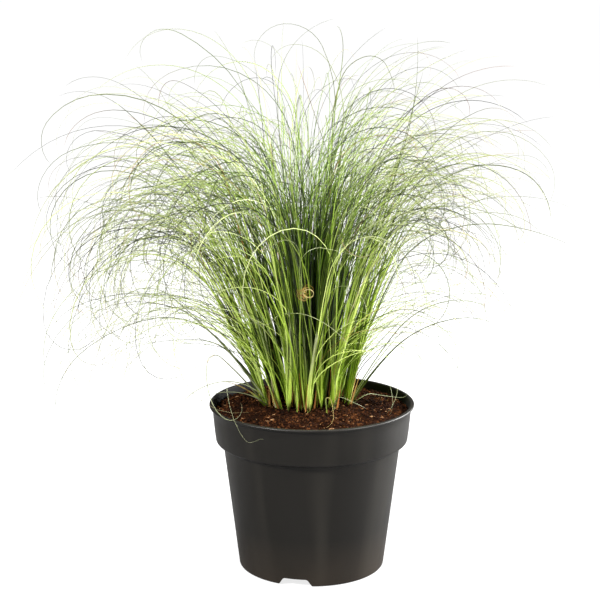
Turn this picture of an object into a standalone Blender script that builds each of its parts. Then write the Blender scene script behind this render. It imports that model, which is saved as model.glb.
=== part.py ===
"""Potted ornamental grass clump: a sedge with hair-fine arching leaves in a round nursery pot.

The pot stands on its foot at z = 0 with its axis on Z, and the front of the plant faces -Y.
The leaves are divided into tufts. Each tuft is a tapered solid that stands on the soil, rises,
arches over and ends where the tips of its leaves hang. Units are metres, +Z is up.
"""

import math

import bmesh
import bpy
from mathutils import Vector
from mathutils.geometry import interpolate_bezier

MERGE = 0.00002
GAP = 0.0003

# pot
POT_HEIGHT = 0.155
LIP_RADIUS = 0.095
LIP_THICKNESS = 0.0026
COLLAR_TOP_RADIUS = 0.0926
COLLAR_BOTTOM_RADIUS = 0.0892
COLLAR_HEIGHT = 0.036
COLLAR_CORNER = 0.0030
BODY_TOP_RADIUS = 0.0820
BODY_TOP_HEIGHT = 0.1145
BASE_RADIUS = 0.0678
BASE_CORNER = 0.0012
WALL = 0.0014
FOOT_HEIGHT = 0.0070
FOOT_WIDTH = 0.0030
FLOOR_THICKNESS = 0.0016
POT_STEPS = 56

# openings in the pot's foot and floor
NOTCH_ANGLES = (17.0, 137.0, 257.0)
NOTCH_TOP_WIDTH = 0.022
NOTCH_MOUTH_WIDTH = 0.031
NOTCH_HEIGHT = 0.0068
NOTCH_DEPTH = 0.012
DRAIN_HOLES = 6
DRAIN_RADIUS = 0.0050
DRAIN_CIRCLE = 0.040

# soil
SOIL_BELOW_RIM_AT_WALL = 0.0075
SOIL_BELOW_RIM_AT_CROWN = 0.0020
SOIL_CROWN_RADIUS = 0.058
SOIL_STEPS = 48

# leaves
CLUMP_CENTRE = (-0.005, 0.014)
TUFT_SIDES_RESOLUTION = 2
RISE_POINTS = 8
FALL_POINTS = 7
TIP_RADIUS = 0.0020
STUB_HEIGHT = 0.0035

# Each ring of tufts: radius of the ring at the soil, radius of a tuft there and at its crown,
# how far along its reach a tuft has its highest point, and the lean of the rise at the soil.
RINGS = {
    "outer_tuft": {"foot": 0.0350, "foot_radius": 0.0053, "crown_radius": 0.0120,
                   "crown_at": 0.70, "lean": 0.36},
    "inner_tuft": {"foot": 0.0210, "foot_radius": 0.0048, "crown_radius": 0.0110,
                   "crown_at": 0.74, "lean": 0.34},
    "centre_tuft": {"foot": 0.0085, "foot_radius": 0.0045, "crown_radius": 0.0080,
                    "crown_at": 0.62, "lean": 0.45},
}

# Each tuft: azimuth in degrees (0 is +X, 90 is +Y), then from the clump's centre the reach,
# and from the floor the height of the crown and of the hanging tip.
TUFTS = {
    "outer_tuft": (
        (0.0, 0.248, 0.385, 0.225), (30.0, 0.232, 0.380, 0.215), (60.0, 0.206, 0.385, 0.205),
        (90.0, 0.184, 0.385, 0.205), (120.0, 0.202, 0.380, 0.190), (150.0, 0.226, 0.372, 0.165),
        (180.0, 0.238, 0.365, 0.138), (210.0, 0.228, 0.358, 0.150), (240.0, 0.216, 0.352, 0.205),
        (270.0, 0.212, 0.350, 0.245), (300.0, 0.216, 0.355, 0.235), (330.0, 0.232, 0.372, 0.220),
    ),
    "inner_tuft": (
        (15.0, 0.168, 0.440, 0.375), (75.0, 0.142, 0.450, 0.390), (135.0, 0.152, 0.448, 0.382),
        (195.0, 0.172, 0.432, 0.358), (255.0, 0.148, 0.425, 0.358), (315.0, 0.156, 0.432, 0.366),
    ),
    "centre_tuft": (
        (40.0, 0.088, 0.488, 0.462), (130.0, 0.080, 0.497, 0.470),
        (220.0, 0.084, 0.480, 0.450), (310.0, 0.080, 0.472, 0.445),
    ),
}


def clear_scene():
    for obj in list(bpy.data.objects):
        bpy.data.objects.remove(obj, do_unlink=True)


def new_collection(name):
    collection = bpy.data.collections.new(name)
    bpy.context.scene.collection.children.link(collection)
    return collection


def new_material(name, colour, roughness, metallic=0.0):
    material = bpy.data.materials.new(name)
    material.use_nodes = True
    shader = material.node_tree.nodes["Principled BSDF"]
    shader.inputs["Base Color"].default_value = (*colour, 1.0)
    shader.inputs["Roughness"].default_value = roughness
    shader.inputs["Metallic"].default_value = metallic
    return material


def arc(centre_radius, centre_height, radius, start, end, steps):
    """Points (radius, height) on an arc, with angles in degrees from the outward direction."""
    points = []
    for step in range(steps + 1):
        angle = math.radians(start + (end - start) * step / steps)
        points.append((centre_radius + radius * math.cos(angle),
                       centre_height + radius * math.sin(angle)))
    return points


def turned(name, profile, steps, material, collection):
    """A solid of revolution about Z. The profile runs down its outer side, from axis to axis."""
    mesh = bpy.data.meshes.new(name)
    shape = bmesh.new()
    corners = [shape.verts.new((radius, 0.0, height)) for radius, height in profile]
    for first, second in zip(corners, corners[1:]):
        shape.edges.new((first, second))
    shape.to_mesh(mesh)
    shape.free()
    obj = bpy.data.objects.new(name, mesh)
    collection.objects.link(obj)
    mesh.materials.append(material)
    screw = obj.modifiers.new("Turn", "SCREW")
    screw.steps = steps
    screw.render_steps = steps
    screw.use_merge_vertices = True
    screw.merge_threshold = MERGE
    screw.use_smooth_shade = True
    return obj


def collar_slope(height):
    """Outer radius of the collar at a height."""
    low = POT_HEIGHT - COLLAR_HEIGHT
    share = (height - low) / COLLAR_HEIGHT
    return COLLAR_BOTTOM_RADIUS + (COLLAR_TOP_RADIUS - COLLAR_BOTTOM_RADIUS) * share


def outer_wall():
    """Outer side of the pot below the lip, top to bottom, as (radius, height)."""
    under_lip = POT_HEIGHT - LIP_THICKNESS
    collar_low = POT_HEIGHT - COLLAR_HEIGHT
    corner_at = COLLAR_BOTTOM_RADIUS - COLLAR_CORNER
    points = [(collar_slope(under_lip) + 0.0006, under_lip),
              (collar_slope(under_lip - 0.0012), under_lip - 0.0012)]
    points += arc(corner_at, collar_low + COLLAR_CORNER, COLLAR_CORNER, 0.0, -80.0, 4)
    points += [(BODY_TOP_RADIUS + 0.0030, collar_low - 0.0008),
               (BODY_TOP_RADIUS + 0.0006, collar_low - 0.0025),
               (BODY_TOP_RADIUS, BODY_TOP_HEIGHT)]
    points += arc(BASE_RADIUS - BASE_CORNER, BASE_CORNER, BASE_CORNER, 0.0, -90.0, 2)
    return points


def inner_wall(inset):
    """Inner side of the pot, bottom to top, or the same line moved inwards by an inset."""
    offset = WALL + inset
    collar_low = POT_HEIGHT - COLLAR_HEIGHT
    floor_top = FOOT_HEIGHT + FLOOR_THICKNESS + inset
    rise = (floor_top / BODY_TOP_HEIGHT) * (BODY_TOP_RADIUS - BASE_RADIUS)
    return [(BASE_RADIUS + rise - offset - 0.0020, floor_top),
            (BASE_RADIUS + rise - offset, floor_top + 0.0020),
            (BODY_TOP_RADIUS - offset, BODY_TOP_HEIGHT + 0.0010),
            (BODY_TOP_RADIUS + 0.0016 - offset, collar_low + 0.0004),
            (COLLAR_BOTTOM_RADIUS - 0.0012 - offset, collar_low + 0.0024),
            (COLLAR_BOTTOM_RADIUS - offset, collar_low + 0.0050)]


def lip():
    """The rolled lip, from the inner side over the top to the outer side."""
    roll = LIP_THICKNESS / 2
    inner_edge = collar_slope(POT_HEIGHT) - WALL
    points = [(inner_edge, POT_HEIGHT - 0.0012), (inner_edge + 0.0010, POT_HEIGHT)]
    points += arc(LIP_RADIUS - roll, POT_HEIGHT - roll, roll, 90.0, -90.0, 4)
    return points


def build_cutter(name, half_size, top_share, angle, distance, height, collection):
    """A tapered block for a foot notch, standing at an angle and a distance from the axis."""
    mesh = bpy.data.meshes.new(name)
    block = bmesh.new()
    bmesh.ops.create_cube(block, size=2.0)
    bmesh.ops.scale(block, vec=half_size, verts=block.verts)
    upper = [vertex for vertex in block.verts if vertex.co.z > 0]
    bmesh.ops.scale(block, vec=(1.0, top_share, 1.0), verts=upper)
    block.to_mesh(mesh)
    block.free()
    cutter = bpy.data.objects.new(name, mesh)
    collection.objects.link(cutter)
    turn = math.radians(angle)
    cutter.location = (distance * math.cos(turn), distance * math.sin(turn), height)
    cutter.rotation_euler = (0.0, 0.0, turn)
    cutter.hide_render = True
    cutter.display_type = "WIRE"
    return cutter


def build_drain(name, angle, distance, collection):
    bpy.ops.mesh.primitive_cylinder_add(vertices=16, radius=DRAIN_RADIUS, depth=0.008)
    drain = bpy.context.active_object
    drain.name = name
    for owner in list(drain.users_collection):
        owner.objects.unlink(drain)
    collection.objects.link(drain)
    turn = math.radians(angle)
    middle = FOOT_HEIGHT + FLOOR_THICKNESS / 2
    drain.location = (distance * math.cos(turn), distance * math.sin(turn), middle)
    drain.hide_render = True
    drain.display_type = "WIRE"
    return drain


def cut(obj, cutter):
    boolean = obj.modifiers.new("Cut " + cutter.name, "BOOLEAN")
    boolean.operation = "DIFFERENCE"
    boolean.solver = "EXACT"
    boolean.object = cutter


def build_pot(parts, cutters):
    black_plastic = new_material("black plastic", (0.022, 0.020, 0.018), 0.45)
    floor_top = FOOT_HEIGHT + FLOOR_THICKNESS
    skirt_inside = BASE_RADIUS - FOOT_WIDTH
    profile = [(0.0, floor_top)] + inner_wall(0.0) + lip() + outer_wall()
    profile += [(skirt_inside, 0.0), (skirt_inside, FOOT_HEIGHT), (0.0, FOOT_HEIGHT)]
    pot = turned("pot", profile, POT_STEPS, black_plastic, parts)
    # the block's mouth is lower than the foot, so its width at z = 0 is the stated one
    below = 0.002
    slope = (NOTCH_MOUTH_WIDTH - NOTCH_TOP_WIDTH) / NOTCH_HEIGHT
    mouth = NOTCH_MOUTH_WIDTH + slope * below
    half_height = (NOTCH_HEIGHT + below) / 2
    for number, angle in enumerate(NOTCH_ANGLES, start=1):
        notch = build_cutter(f"notch_{number}", (NOTCH_DEPTH / 2, mouth / 2, half_height),
                             NOTCH_TOP_WIDTH / mouth, angle, BASE_RADIUS - 0.002,
                             half_height - below, cutters)
        cut(pot, notch)
    for number in range(DRAIN_HOLES):
        angle = 360.0 * (number + 0.5) / DRAIN_HOLES + NOTCH_ANGLES[0]
        cut(pot, build_drain(f"drain_{number + 1}", angle, DRAIN_CIRCLE, cutters))
    return pot


def soil_top():
    return POT_HEIGHT - SOIL_BELOW_RIM_AT_CROWN


def build_soil(parts):
    peat = new_material("peat compost", (0.060, 0.024, 0.012), 0.95)
    wall_line = inner_wall(GAP)
    edge_height = POT_HEIGHT - SOIL_BELOW_RIM_AT_WALL
    edge_radius = collar_slope(edge_height) - WALL - GAP
    middle = (SOIL_CROWN_RADIUS + edge_radius) / 2
    middle_height = edge_height + 0.6 * (soil_top() - edge_height)
    profile = [(0.0, soil_top()), (SOIL_CROWN_RADIUS, soil_top()), (middle, middle_height),
               (edge_radius, edge_height)]
    profile += list(reversed(wall_line)) + [(0.0, wall_line[0][1])]
    return turned("soil", profile, SOIL_STEPS, peat, parts)


def tuft_path(ring, azimuth, reach, crown_height, tip_height):
    """Points up the rise to the crown and down the fall to the tip, in 3-D."""
    turn = math.radians(azimuth)
    outward = Vector((math.cos(turn), math.sin(turn), 0.0))
    centre = Vector((*CLUMP_CENTRE, 0.0))
    foot_height = soil_top() + GAP + STUB_HEIGHT
    crown_distance = ring["crown_at"] * reach
    foot = centre + outward * ring["foot"] + Vector((0, 0, foot_height))
    crown = centre + outward * crown_distance + Vector((0, 0, crown_height))
    tip = centre + outward * (reach - 0.004) + Vector((0, 0, tip_height))
    run = crown_distance - ring["foot"]
    rise = crown_height - foot_height
    drop = crown_height - tip_height
    lean_handle = foot + outward * ring["lean"] * run + Vector((0, 0, 0.62 * rise))
    crown_in = crown - outward * 0.40 * run
    crown_out = crown + outward * 0.80 * (reach - crown_distance)
    tip_handle = tip + outward * 0.006 + Vector((0, 0, 0.55 * drop))
    upward = interpolate_bezier(foot, lean_handle, crown_in, crown, RISE_POINTS)
    downward = interpolate_bezier(crown, crown_out, tip_handle, tip, FALL_POINTS)
    return upward, downward[1:]


def build_tuft(name, ring, material, parts, azimuth, reach, crown_height, tip_height):
    upward, downward = tuft_path(ring, azimuth, reach, crown_height, tip_height)
    stub = upward[0] - Vector((0, 0, STUB_HEIGHT))
    points = [stub] + upward + downward
    girths = [ring["foot_radius"]]
    for number in range(len(upward)):
        share = math.sin(math.pi / 2 * number / (len(upward) - 1))
        girths.append(ring["foot_radius"] + (ring["crown_radius"] - ring["foot_radius"]) * share)
    for number in range(1, len(downward) + 1):
        share = (number / len(downward)) ** 1.5
        girths.append(ring["crown_radius"] + (TIP_RADIUS - ring["crown_radius"]) * share)
    data = bpy.data.curves.new(name, "CURVE")
    data.dimensions = "3D"
    data.twist_mode = "MINIMUM"
    data.bevel_depth = 1.0
    data.bevel_resolution = TUFT_SIDES_RESOLUTION
    data.use_fill_caps = True
    data.materials.append(material)
    spline = data.splines.new("POLY")
    spline.points.add(len(points) - 1)
    for point, place, girth in zip(spline.points, points, girths):
        point.co = (*place, 1.0)
        point.radius = girth
    tuft = bpy.data.objects.new(name, data)
    parts.objects.link(tuft)
    return tuft


def build_leaves(parts):
    green = {"outer_tuft": (0.200, 0.280, 0.085), "inner_tuft": (0.170, 0.290, 0.060),
             "centre_tuft": (0.140, 0.270, 0.045)}
    for ring_name, ring in RINGS.items():
        leaf = new_material(ring_name.replace("_", " ") + " leaf", green[ring_name], 0.5)
        for number, place in enumerate(TUFTS[ring_name], start=1):
            build_tuft(f"{ring_name}_{number:02d}", ring, leaf, parts, *place)


def main():
    clear_scene()
    parts = new_collection("potted_grass_clump")
    cutters = new_collection("cutters")
    build_pot(parts, cutters)
    build_soil(parts)
    build_leaves(parts)


main()
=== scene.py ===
# Potted ornamental grass: a sedge with hair-fine curling leaves in a black nursery pot.
import math
import random

import bmesh
import bpy
import numpy as np
from mathutils import Euler, Matrix, Quaternion, Vector, noise


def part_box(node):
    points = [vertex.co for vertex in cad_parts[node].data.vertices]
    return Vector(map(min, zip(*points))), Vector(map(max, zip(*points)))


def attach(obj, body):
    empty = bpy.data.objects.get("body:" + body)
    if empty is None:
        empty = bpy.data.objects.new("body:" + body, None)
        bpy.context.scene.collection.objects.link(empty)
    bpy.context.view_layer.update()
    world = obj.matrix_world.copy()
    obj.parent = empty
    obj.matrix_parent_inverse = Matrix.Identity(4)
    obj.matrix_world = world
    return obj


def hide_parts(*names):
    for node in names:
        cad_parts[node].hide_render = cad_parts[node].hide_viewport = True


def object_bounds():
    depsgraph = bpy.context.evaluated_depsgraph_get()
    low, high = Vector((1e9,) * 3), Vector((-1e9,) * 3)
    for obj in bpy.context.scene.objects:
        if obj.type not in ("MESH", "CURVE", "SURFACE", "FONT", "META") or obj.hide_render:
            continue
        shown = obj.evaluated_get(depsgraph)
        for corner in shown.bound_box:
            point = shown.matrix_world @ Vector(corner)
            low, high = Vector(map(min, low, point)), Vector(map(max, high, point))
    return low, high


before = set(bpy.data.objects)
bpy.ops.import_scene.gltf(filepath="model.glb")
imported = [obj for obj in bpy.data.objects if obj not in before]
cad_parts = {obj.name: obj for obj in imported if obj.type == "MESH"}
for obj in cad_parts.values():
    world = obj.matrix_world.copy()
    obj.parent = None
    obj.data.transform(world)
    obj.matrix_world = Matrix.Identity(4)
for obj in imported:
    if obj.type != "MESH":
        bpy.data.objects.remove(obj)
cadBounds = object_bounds()
scene = bpy.context.scene
noise.seed_set(5)  # noise_vector is seeded from the clock otherwise

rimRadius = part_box("pot")[1].x
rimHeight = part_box("pot")[1].z
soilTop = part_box("soil")[1].z
print("frame loaded:", len(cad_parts), "nodes")


def smooth(share):
    share = min(max(share, 0.0), 1.0)
    return share * share * (3.0 - 2.0 * share)


def between(low, high, share):
    return low + (high - low) * share


def linkPiece(name, mesh, material, replaced=()):
    mesh.name = name
    mesh.materials.clear()
    mesh.materials.append(material)
    piece = bpy.data.objects.new(name, mesh)
    scene.collection.objects.link(piece)
    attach(piece, "root")
    if replaced:
        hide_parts(*replaced)
    return piece


def meshFrom(bm, name):
    mesh = bpy.data.meshes.new(name)
    bm.to_mesh(mesh)
    bm.free()
    return mesh


def looseObject(bm, name):
    obj = bpy.data.objects.new(name, meshFrom(bm, name))
    scene.collection.objects.link(obj)
    return obj


def spinProfile(profile, segments):
    # turns (radius, height) points about the pot's axis and closes the poles
    bm = bmesh.new()
    line = [bm.verts.new((radius, 0.0, height)) for radius, height in profile]
    edges = [bm.edges.new(pair) for pair in zip(line, line[1:])]
    bmesh.ops.spin(bm, geom=line + edges, cent=(0, 0, 0), axis=(0, 0, 1),
                   angle=2 * math.pi, steps=segments, use_merge=True, use_duplicate=False)
    bmesh.ops.remove_doubles(bm, verts=bm.verts, dist=0.00001)
    bmesh.ops.recalc_face_normals(bm, faces=bm.faces)
    return bm


def arcPoints(radius, height, size, start, end, steps):
    points = []
    for step in range(steps + 1):
        angle = math.radians(between(start, end, step / steps))
        points.append((radius + size * math.cos(angle), height + size * math.sin(angle)))
    return points


def startMaterial(name):
    material = bpy.data.materials.new(name)
    material.use_nodes = True
    tree = material.node_tree
    return material, tree, tree.nodes["Principled BSDF"]


def feed(tree, node, inputs):
    # each input is given another node's output, a colour or a number
    for name, given in inputs.items():
        socket = node.inputs[name]
        if isinstance(given, bpy.types.NodeSocket):
            tree.links.new(given, socket)
        elif socket.type == "RGBA":
            socket.default_value = (*given, 1.0)
        else:
            socket.default_value = given


def addNode(tree, kind, x, y, inputs=None, **settings):
    node = tree.nodes.new(kind)
    node.location = (x, y)
    for key, value in settings.items():
        setattr(node, key, value)
    feed(tree, node, inputs or {})
    return node


def addMath(tree, x, y, operation, *values):
    node = addNode(tree, "ShaderNodeMath", x, y, dict(enumerate(values)), operation=operation)
    return node.outputs["Value"]


def addVectorMath(tree, x, y, operation, *values):
    node = addNode(tree, "ShaderNodeVectorMath", x, y, dict(enumerate(values)), operation=operation)
    return node.outputs["Vector" if operation == "MULTIPLY" else "Value"]


def addRange(tree, x, y, value, before, after=(0.0, 1.0), way="LINEAR"):
    # carries a value over from one range to another
    node = addNode(tree, "ShaderNodeMapRange", x, y, {
        "Value": value, "From Min": before[0], "From Max": before[1],
        "To Min": after[0], "To Max": after[1]}, interpolation_type=way)
    return node.outputs["Result"]


def addNoise(tree, x, y, vector, scale, detail):
    node = addNode(tree, "ShaderNodeTexNoise", x, y, {
        "Vector": vector, "Scale": scale, "Detail": detail})
    return node.outputs["Fac"]


def addStretch(tree, x, y, vector, scale):
    return addNode(tree, "ShaderNodeMapping", x, y, {
        "Vector": vector, "Scale": scale}).outputs["Vector"]


def readAttribute(tree, x, y, name):
    return addNode(tree, "ShaderNodeAttribute", x, y, attribute_name=name).outputs["Fac"]


def addRamp(tree, x, y, factor, stops):
    ramp = addNode(tree, "ShaderNodeValToRGB", x, y, {"Fac": factor})
    elements = ramp.color_ramp.elements
    while len(elements) > 1:
        elements.remove(elements[-1])
    elements[0].position = stops[0][0]
    elements[0].color = (*stops[0][1], 1.0)
    for position, colour in stops[1:]:
        elements.new(position).color = (*colour, 1.0)
    return ramp.outputs["Color"]


def mixColours(tree, x, y, share, first, second, blend="MIX"):
    # a Mix node's colour sockets have no names of their own: 6 and 7 in, 2 out
    node = addNode(tree, "ShaderNodeMix", x, y, data_type="RGBA", blend_type=blend)
    feed(tree, node, {0: share, 6: first, 7: second})
    return node.outputs[2]


def makeGrainGroup():
    # uneven grain at one scale: a mask and a bumped normal
    group = bpy.data.node_groups.new("fineGrain", "ShaderNodeTree")
    group.interface.new_socket(name="Vector", in_out="INPUT", socket_type="NodeSocketVector")
    for name in ("Scale", "Strength", "Height", "Roughness"):
        group.interface.new_socket(name=name, in_out="INPUT", socket_type="NodeSocketFloat")
    group.interface.new_socket(name="Mask", in_out="OUTPUT", socket_type="NodeSocketFloat")
    group.interface.new_socket(name="Normal", in_out="OUTPUT", socket_type="NodeSocketVector")
    given = addNode(group, "NodeGroupInput", -600, 0).outputs
    grain = addNode(group, "ShaderNodeTexNoise", -300, 0, {
        "Vector": given["Vector"], "Scale": given["Scale"], "Detail": 5.0,
        "Roughness": given["Roughness"]})
    bump = addNode(group, "ShaderNodeBump", 100, -120, {
        "Strength": given["Strength"], "Distance": given["Height"],
        "Height": grain.outputs["Fac"]})
    addNode(group, "NodeGroupOutput", 400, 0, {
        "Mask": grain.outputs["Fac"], "Normal": bump.outputs["Normal"]})
    return group


fineGrain = makeGrainGroup()


def addGrain(tree, x, y, vector, scale, strength, height, roughness):
    node = addNode(tree, "ShaderNodeGroup", x, y, node_tree=fineGrain)
    feed(tree, node, {"Vector": vector, "Scale": scale, "Strength": strength, "Height": height,
                      "Roughness": roughness})
    return node.outputs["Mask"], node.outputs["Normal"]


studio = {
    "distance": 1.45,
    "elevation": 12.0,
    "aim": (-0.0108, 0.0, 0.251),
    "lens": 95.2,
    "white": (1.0, 1.0, 1.0),
    "worldFill": 0.05,
    "floorRadius": 40.0,
    "floorDrop": 0.0006,
    "floorColour": (0.24, 0.24, 0.24),
    "floorGlow": 0.80,
    "whiteReach": (0.20, 1.00),
    "softboxes": {
        "keyLeft": ((-1.8, -1.5, 1.75), (0.40, 0.40), 142.0, (0, 0, 0.28)),
        "keyRight": ((1.8, -1.1, 1.40), (0.45, 0.45), 78.0, (0, 0, 0.28)),
        "rightRim": ((1.25, 0.52, 0.46), (0.7, 1.1), 62.0, (0, 0, 0.12)),
        "topSoft": ((0.1, 0.1, 2.2), (1.0, 1.0), 26.0, (0, 0, 0.2)),
    },
}


def aimAt(obj, target):
    obj.rotation_euler = (Vector(target) - obj.location).to_track_quat("-Z", "Y").to_euler()


def makeCamera():
    lensData = bpy.data.cameras.new("camera")
    lensData.lens = studio["lens"]
    lensData.sensor_width = 36.0
    camera = bpy.data.objects.new("camera", lensData)
    scene.collection.objects.link(camera)
    angle = math.radians(studio["elevation"])
    back = Vector((0.0, -math.cos(angle), math.sin(angle)))
    camera.location = Vector(studio["aim"]) + back * studio["distance"]
    aimAt(camera, studio["aim"])
    scene.camera = camera


def makeSoftbox(name, place, size, power, target):
    data = bpy.data.lights.new(name, "AREA")
    data.shape = "RECTANGLE"
    data.size, data.size_y = size
    data.energy = power
    lamp = bpy.data.objects.new(name, data)
    scene.collection.objects.link(lamp)
    lamp.location = place
    aimAt(lamp, target)


def makeWorld():
    # white to the eye, but dimmer as a light
    world = bpy.data.worlds.new("studio")
    scene.world = world
    world.use_nodes = True
    tree = world.node_tree
    path = addNode(tree, "ShaderNodeLightPath", -600, 0)
    level = addRange(tree, -300, 0, path.outputs["Is Camera Ray"], (0.0, 1.0),
                     (studio["worldFill"], 1.0))
    feed(tree, tree.nodes["Background"], {"Color": studio["white"], "Strength": level})


def makeFloor():
    # a white sweep: it takes a soft shadow near the pot and is plain white farther off
    bm = bmesh.new()
    bmesh.ops.create_circle(bm, cap_ends=True, segments=64, radius=studio["floorRadius"],
                            matrix=Matrix.Translation((0, 0, -studio["floorDrop"])))
    material, tree, shader = startMaterial("floorPaper")
    coords = addNode(tree, "ShaderNodeTexCoord", -1100, -200)
    reach = addVectorMath(tree, -900, -200, "LENGTH", coords.outputs["Object"])
    fade = addRange(tree, -700, -200, reach, studio["whiteReach"], (studio["floorGlow"], 1.0),
                    "SMOOTHSTEP")
    path = addNode(tree, "ShaderNodeLightPath", -700, -450)
    glow = addMath(tree, -450, -300, "MULTIPLY", fade, path.outputs["Is Camera Ray"])
    feed(tree, shader, {"Base Color": studio["floorColour"], "Roughness": 0.95,
                        "Specular IOR Level": 0.0, "Emission Color": studio["white"],
                        "Emission Strength": glow})
    floor = looseObject(bm, "floor")
    floor.data.materials.append(material)


makeCamera()
makeWorld()
makeFloor()
for name, (place, size, power, target) in studio["softboxes"].items():
    makeSoftbox(name, place, size, power, target)
scene.view_settings.view_transform = "Standard"
scene.view_settings.look = "None"
print("studio ready")


potShape = {
    "segments": 192,
    "lipThickness": 0.0026,
    "lipOverhang": 0.0010,
    "lipFillet": 0.0012,
    "lipDepth": 0.0040,
    "collarTop": 0.0926,
    "collarBottom": 0.0892,
    "collarHeight": 0.036,
    "collarCorner": 0.0030,
    # how far out from the body, and how far below the collar
    "shoulder": ((0.0030, 0.0008), (0.0014, 0.0014), (0.0005, 0.0026)),
    "bodyTop": 0.0820,
    "bodyTopHeight": 0.1145,
    "base": 0.0678,
    "baseCorner": 0.0012,
    "wall": 0.0014,
    "footHeight": 0.0070,
    "footWidth": 0.0030,
    "floor": 0.0016,
    "floorCorner": 0.0020,
    "notchAngles": (17.0, 137.0, 257.0),
    "notchTop": 0.022,
    "notchMouth": 0.031,
    "notchHeight": 0.0068,
    "notchDepth": 0.012,
    "notchCorner": 0.0016,
    "cutBeyond": 0.002,
    "drains": 6,
    "drainRadius": 0.0050,
    "drainCircle": 0.040,
}

potFinishAndPaintedLight = {
    "colour": (0.0066, 0.0055, 0.0040),
    # pale bands: partly mould marks, partly painted reflection
    "flowAndPaintedReflection": (0.0210, 0.0185, 0.0145),
    # painted shade on the wall's inner face
    "insidePaintedShade": (0.0034, 0.0030, 0.0025),
    # scuffed rim: partly wear, partly a painted highlight along the lip
    "wornAndPaintedHighlight": (0.034, 0.031, 0.027),
    "dust": (0.105, 0.075, 0.050),
    "grain": (900.0, 0.20, 0.00014, 0.6),  # scale, strength, height and roughness
    "clouds": (14.0, 6.0),
    "dragLines": (260.0, 260.0, 6.0),
    "flowAndReflectionStretch": (26.0, 26.0, 1.2),
    "flowAndReflectionRange": (0.48, 0.78),
    "dustTop": 0.045,
    "dustShare": 0.30,
    "wornAndHighlightDepth": 0.0012,
    "wornAndHighlightShare": 0.6,
    "roughness": (0.36, 0.50),
    "insideDuller": 0.35,
    "specular": 0.29,
}


def collarRadius(height):
    low = rimHeight - potShape["collarHeight"]
    share = (height - low) / potShape["collarHeight"]
    return between(potShape["collarBottom"], potShape["collarTop"], share)


def potOutside():
    shape = potShape
    underLip = rimHeight - shape["lipThickness"]
    fillet = shape["lipFillet"]
    collarLow = rimHeight - shape["collarHeight"]
    corner = shape["collarCorner"]
    points = [(collarRadius(underLip) + shape["lipOverhang"], underLip),
              (collarRadius(underLip) + fillet / 4, underLip - fillet / 3),
              (collarRadius(underLip - fillet), underLip - fillet)]
    for share in (0.25, 0.5, 0.75):
        height = between(underLip - fillet, collarLow + corner, share)
        points.append((collarRadius(height), height))
    points += arcPoints(shape["collarBottom"] - corner, collarLow + corner, corner, 0.0, -80.0, 7)
    points += [(shape["bodyTop"] + out, collarLow - down) for out, down in shape["shoulder"]]
    for share in (0.0, 0.2, 0.4, 0.6, 0.8):
        points.append((between(shape["bodyTop"], shape["base"], share),
                       between(shape["bodyTopHeight"], shape["baseCorner"], share)))
    points += arcPoints(shape["base"] - shape["baseCorner"], shape["baseCorner"],
                        shape["baseCorner"], 0.0, -90.0, 4)
    return points


def potInside(inset=0.0):
    # up from the floor's edge to the collar, with a step where the collar begins
    shape = potShape
    offset = shape["wall"] + inset
    corner = shape["floorCorner"]
    collarLow = rimHeight - shape["collarHeight"]
    floorTop = shape["footHeight"] + shape["floor"] + inset
    rise = floorTop / shape["bodyTopHeight"] * (shape["bodyTop"] - shape["base"])
    foot = shape["base"] + rise - offset
    return [(foot - corner, floorTop),
            (foot - 0.3 * corner, floorTop + 0.3 * corner),
            (foot, floorTop + corner),
            (shape["bodyTop"] - offset, shape["bodyTopHeight"] + 0.0010),
            (shape["bodyTop"] + 0.0016 - offset, collarLow + 0.0004),
            (shape["collarBottom"] - 0.0012 - offset, collarLow + 0.0024),
            (shape["collarBottom"] - offset, collarLow + 0.0050)]


def potLip():
    roll = potShape["lipThickness"] / 2
    wall = potShape["wall"]
    fillet = potShape["lipFillet"]
    below = rimHeight - potShape["lipDepth"]
    points = [(collarRadius(below) - wall, below)]
    points += arcPoints(collarRadius(rimHeight) - wall + fillet, rimHeight - fillet, fillet,
                        180.0, 90.0, 3)
    points += arcPoints(rimRadius - roll, rimHeight - roll, roll, 90.0, -90.0, 8)
    return points


def applyBoolean(piece, cutters):
    for cutter in cutters:
        cut = piece.modifiers.new("cut", "BOOLEAN")
        cut.operation = "DIFFERENCE"
        cut.solver = "EXACT"
        cut.object = cutter
    view = bpy.context.evaluated_depsgraph_get()
    mesh = bpy.data.meshes.new_from_object(piece.evaluated_get(view))
    piece.modifiers.clear()
    piece.data = mesh
    for cutter in cutters:
        bpy.data.objects.remove(cutter)


def notchCutter(angle):
    # a block with sloped sides and rounded upper corners, standing across the foot
    shape = potShape
    below = shape["cutBeyond"]
    slope = (shape["notchMouth"] - shape["notchTop"]) / shape["notchHeight"]
    mouth = shape["notchMouth"] + slope * below
    high = shape["notchHeight"] + below
    bm = bmesh.new()
    bmesh.ops.create_cube(bm, size=1.0)
    bmesh.ops.scale(bm, vec=(shape["notchDepth"], mouth, high), verts=bm.verts)
    upper = [vert for vert in bm.verts if vert.co.z > 0]
    bmesh.ops.scale(bm, vec=(1.0, shape["notchTop"] / mouth, 1.0), verts=upper)
    corners = [edge for edge in bm.edges if all(vert in upper for vert in edge.verts)
               and edge.verts[0].co.x * edge.verts[1].co.x < 0]
    bmesh.ops.bevel(bm, geom=corners, offset=shape["notchCorner"], segments=4, profile=0.5,
                    affect="EDGES", material=-1)
    turn = Matrix.Rotation(math.radians(angle), 4, "Z")
    place = Matrix.Translation((shape["base"] - shape["cutBeyond"], 0.0, high / 2 - below))
    bmesh.ops.transform(bm, matrix=turn @ place, verts=bm.verts)
    return looseObject(bm, "notchCutter")


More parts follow.
